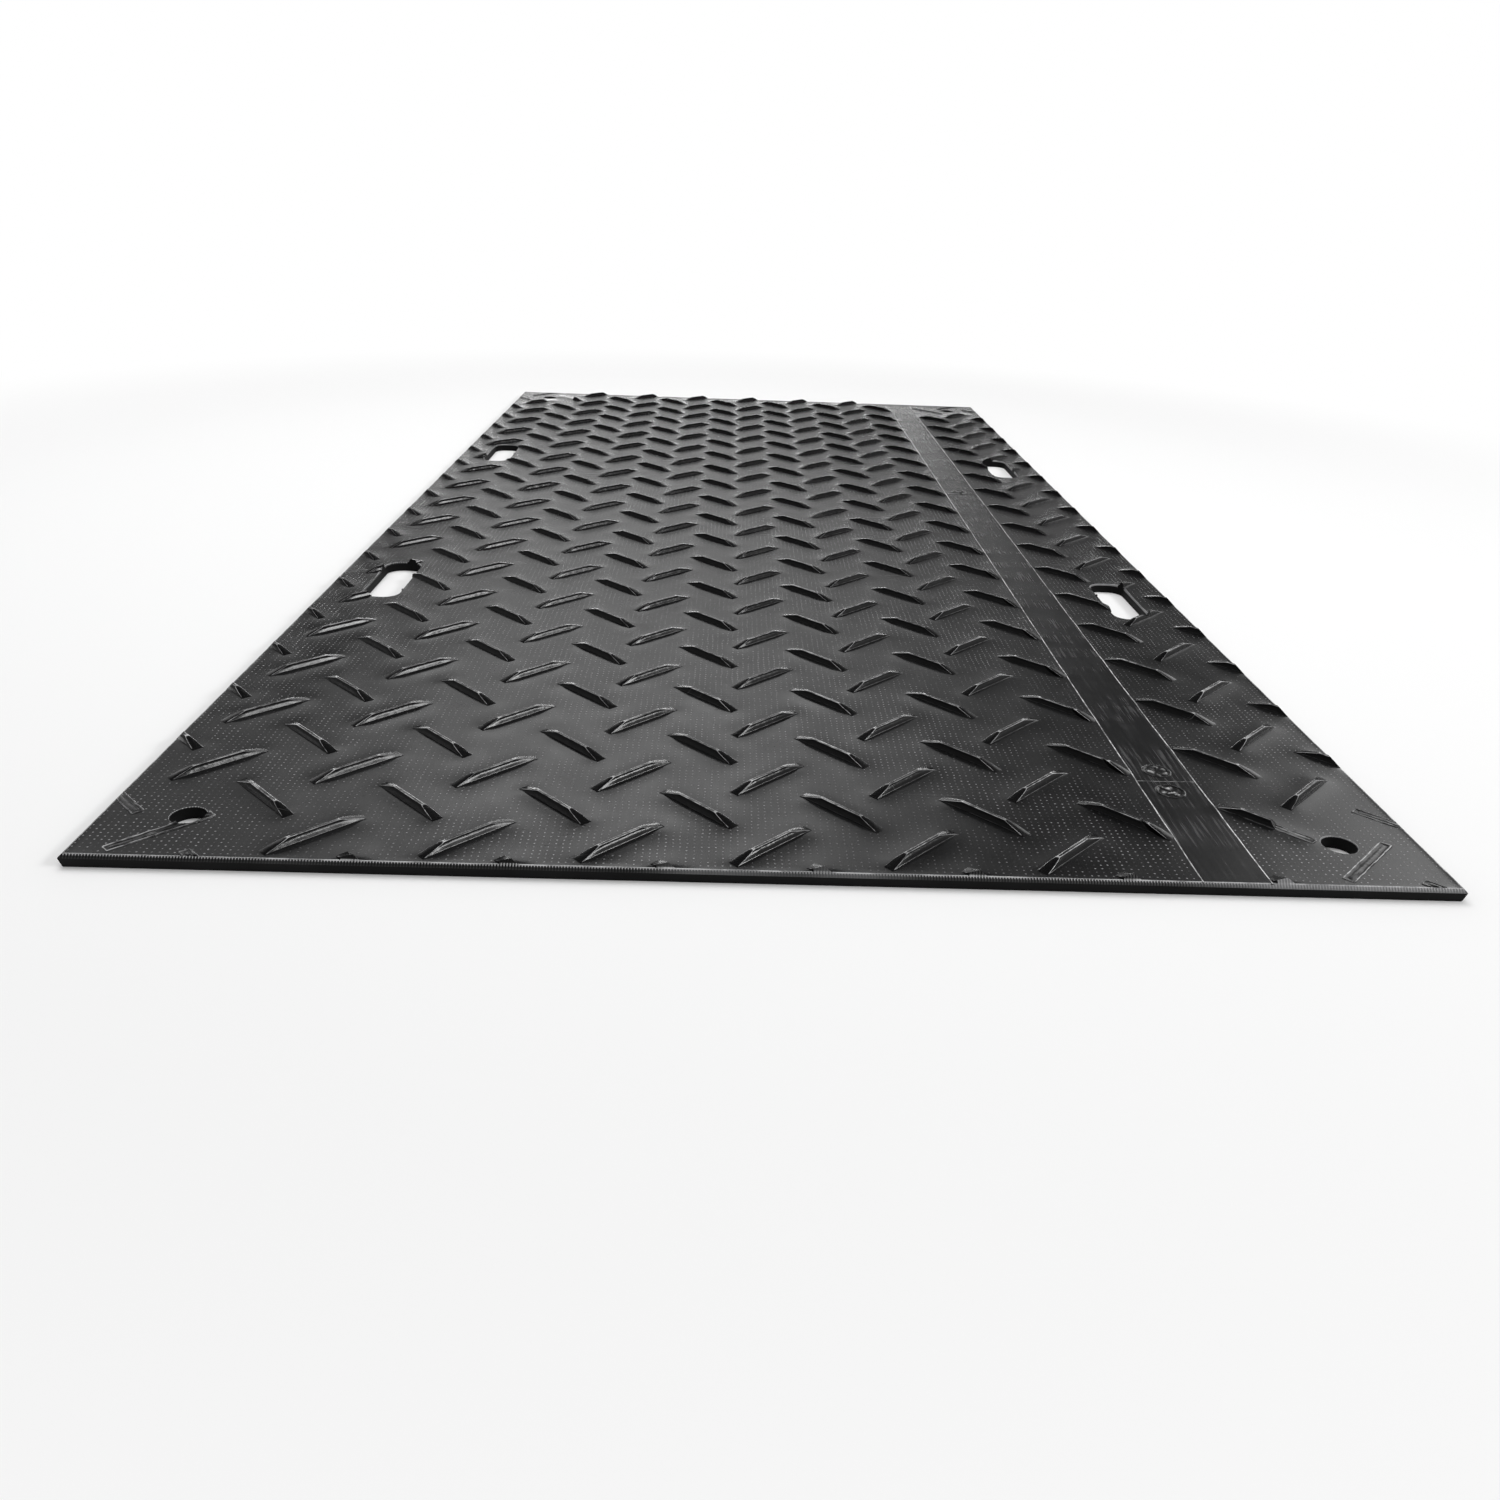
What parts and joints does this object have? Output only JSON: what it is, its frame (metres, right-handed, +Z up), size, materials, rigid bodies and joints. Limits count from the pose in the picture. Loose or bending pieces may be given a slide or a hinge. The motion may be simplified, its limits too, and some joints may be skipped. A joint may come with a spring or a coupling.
{
  "type": "ground protection mat",
  "caption": "Heavy black plastic ground protection mat with a herringbone cleat tread, hand slots along both long sides and a stake hole at each corner.",
  "frame": {"origin": "middle of the flat underside", "axes": "+X across the mat towards the marking strip, +Y along the mat, +Z up out of the tread"},
  "size_m": [1.22, 2.44, 0.0199],
  "materials": {
    "polyethylene": "black moulded polyethylene with a low sheen"
  },
  "bodies": {
    "root": {"tread_mat": "polyethylene"}
  },
  "joints": []
}
